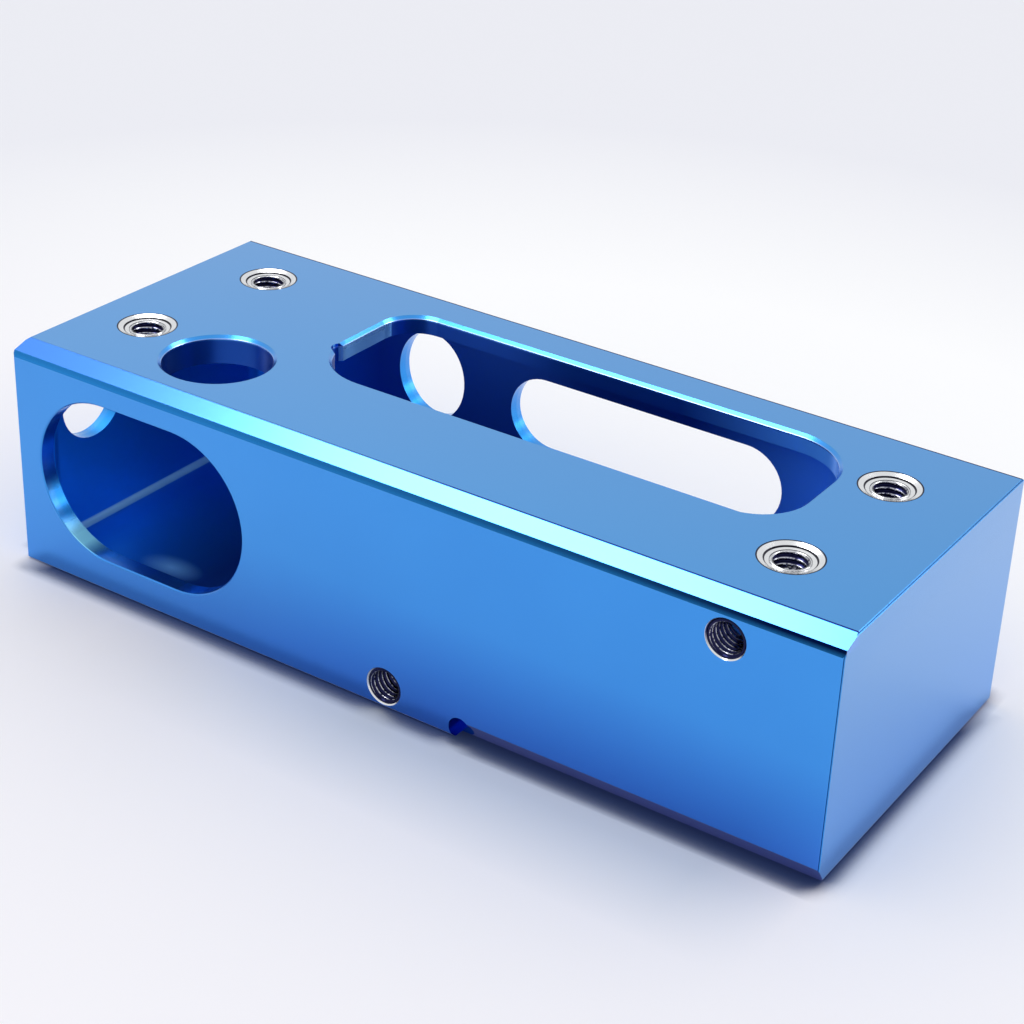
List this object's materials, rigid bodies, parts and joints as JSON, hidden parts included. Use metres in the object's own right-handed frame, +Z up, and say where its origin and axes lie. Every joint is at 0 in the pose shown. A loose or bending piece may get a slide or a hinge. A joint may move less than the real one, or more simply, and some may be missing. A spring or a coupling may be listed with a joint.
{
  "type": "machined housing block",
  "caption": "Hollow rectangular block milled from solid aluminium, with a long top slot, a bore, rounded windows and tapped holes, anodised blue.",
  "frame": {"origin": "middle of the flat base, on the plane that it stands on", "axes": "+X along the length towards the solid right end, +Y from the front face (with the large obround window) to the rear wall, +Z up out of the face with the slot and the bore"},
  "size_m": [0.152, 0.06, 0.04],
  "materials": {
    "anodised_aluminium": "fine blasted and anodised blue, satin",
    "bare_aluminium": "freshly cut, bright"
  },
  "bodies": {
    "root": {"block": "anodised_aluminium"}
  },
  "joints": []
}
